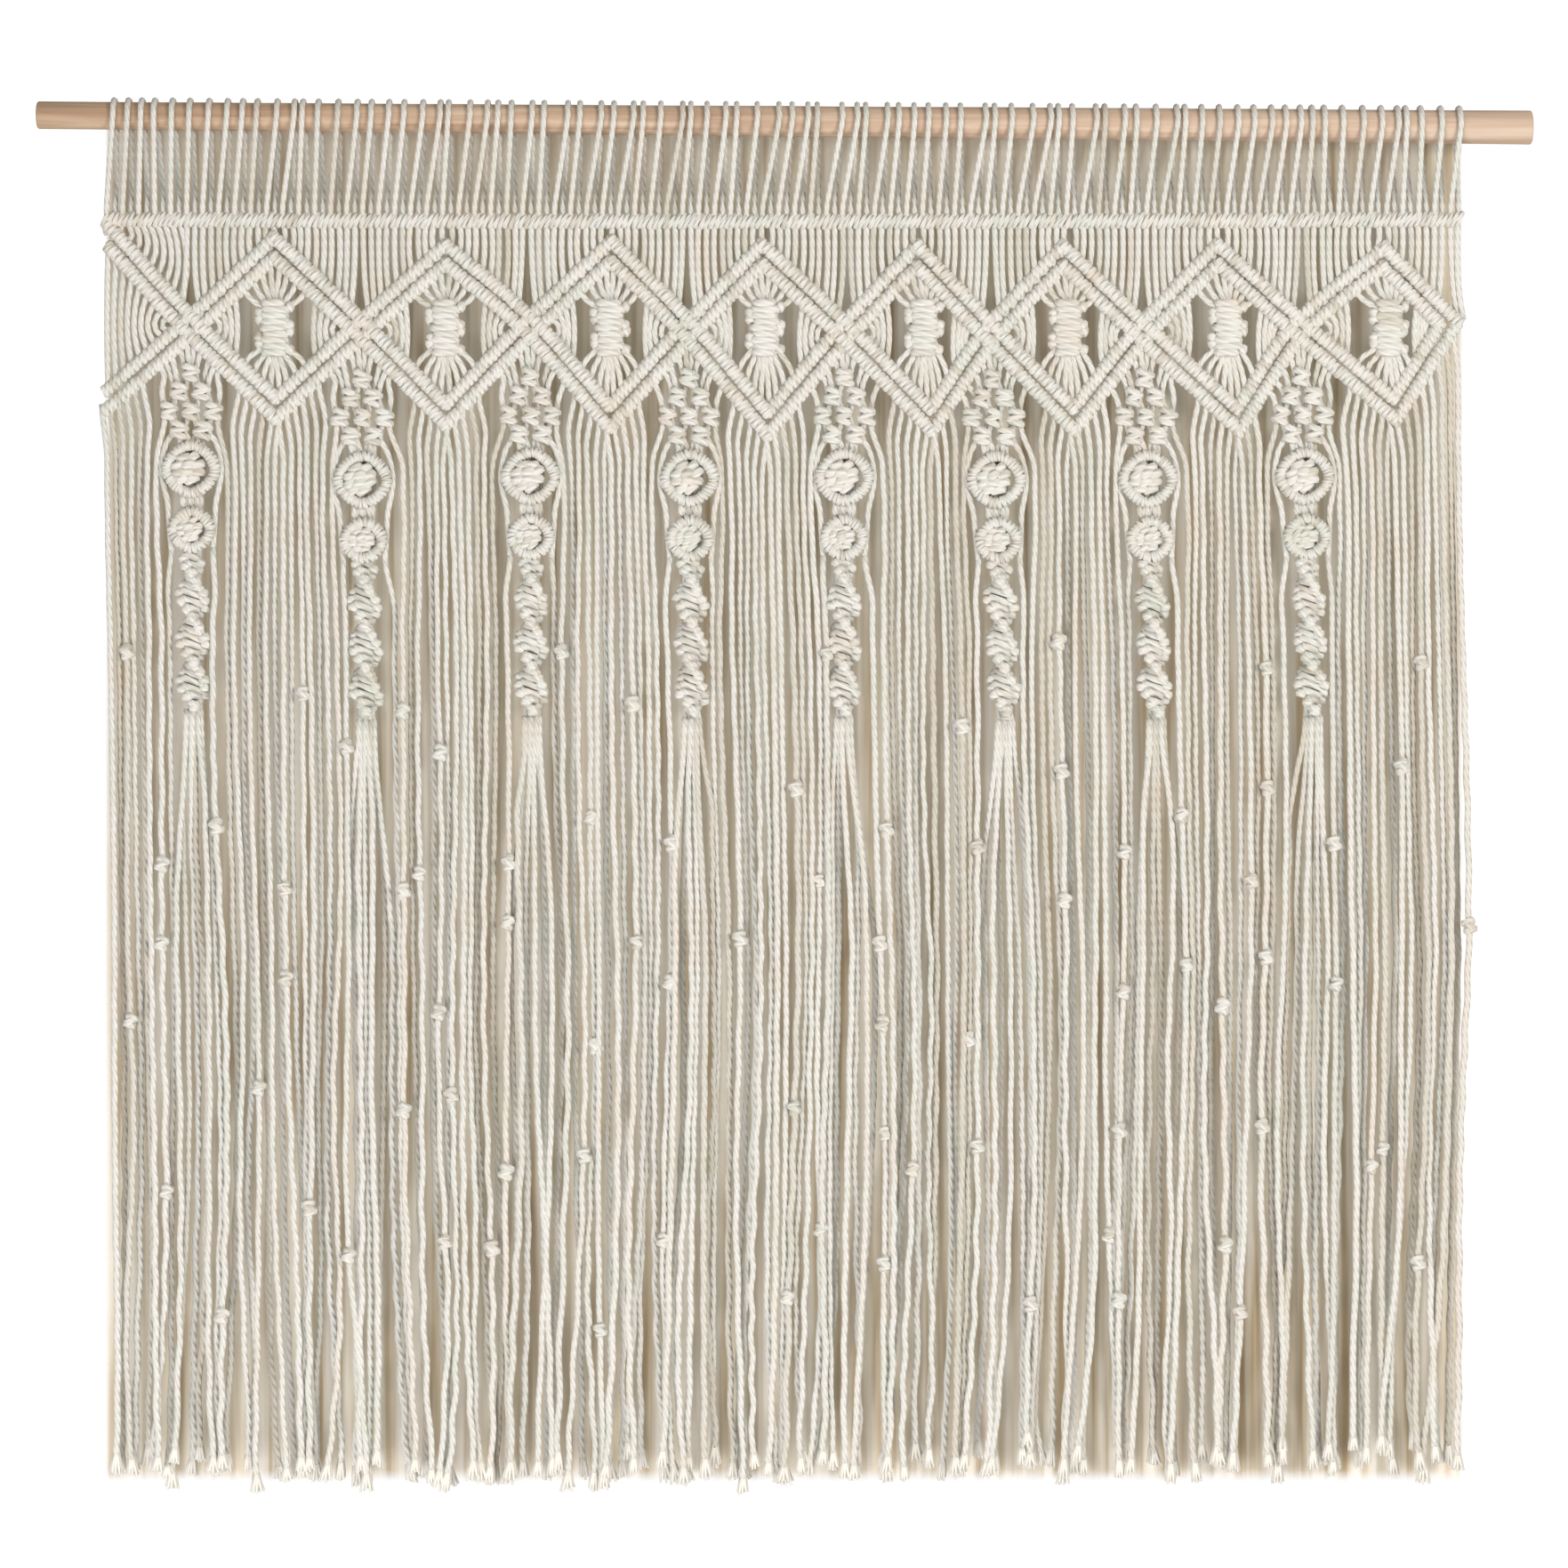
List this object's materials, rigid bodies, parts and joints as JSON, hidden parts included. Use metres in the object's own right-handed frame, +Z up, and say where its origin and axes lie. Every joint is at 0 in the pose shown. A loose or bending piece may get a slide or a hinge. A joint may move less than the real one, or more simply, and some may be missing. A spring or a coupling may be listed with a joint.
{
  "type": "macrame wall hanging on a wooden rod",
  "caption": "Wide knotted cotton wall hanging: strands looped over a wooden rod, a row of knotted diamonds, pendants below them and a long hanging fringe.",
  "frame": {"origin": "the middle of the rod's axis, where a wall's pegs or a cord hold the rod up", "axes": "+X along the rod, to the right as seen from the front, -Y towards the viewer, +Z up; the net hangs down along -Z"},
  "size_m": [0.84, 0.0329, 0.7871],
  "materials": {
    "wood": "plain sanded wood, matt",
    "cotton": "natural unbleached twisted cotton cord"
  },
  "bodies": {
    "root": {"rod": "wood", "net": "cotton", "fringe": "cotton"}
  },
  "joints": []
}
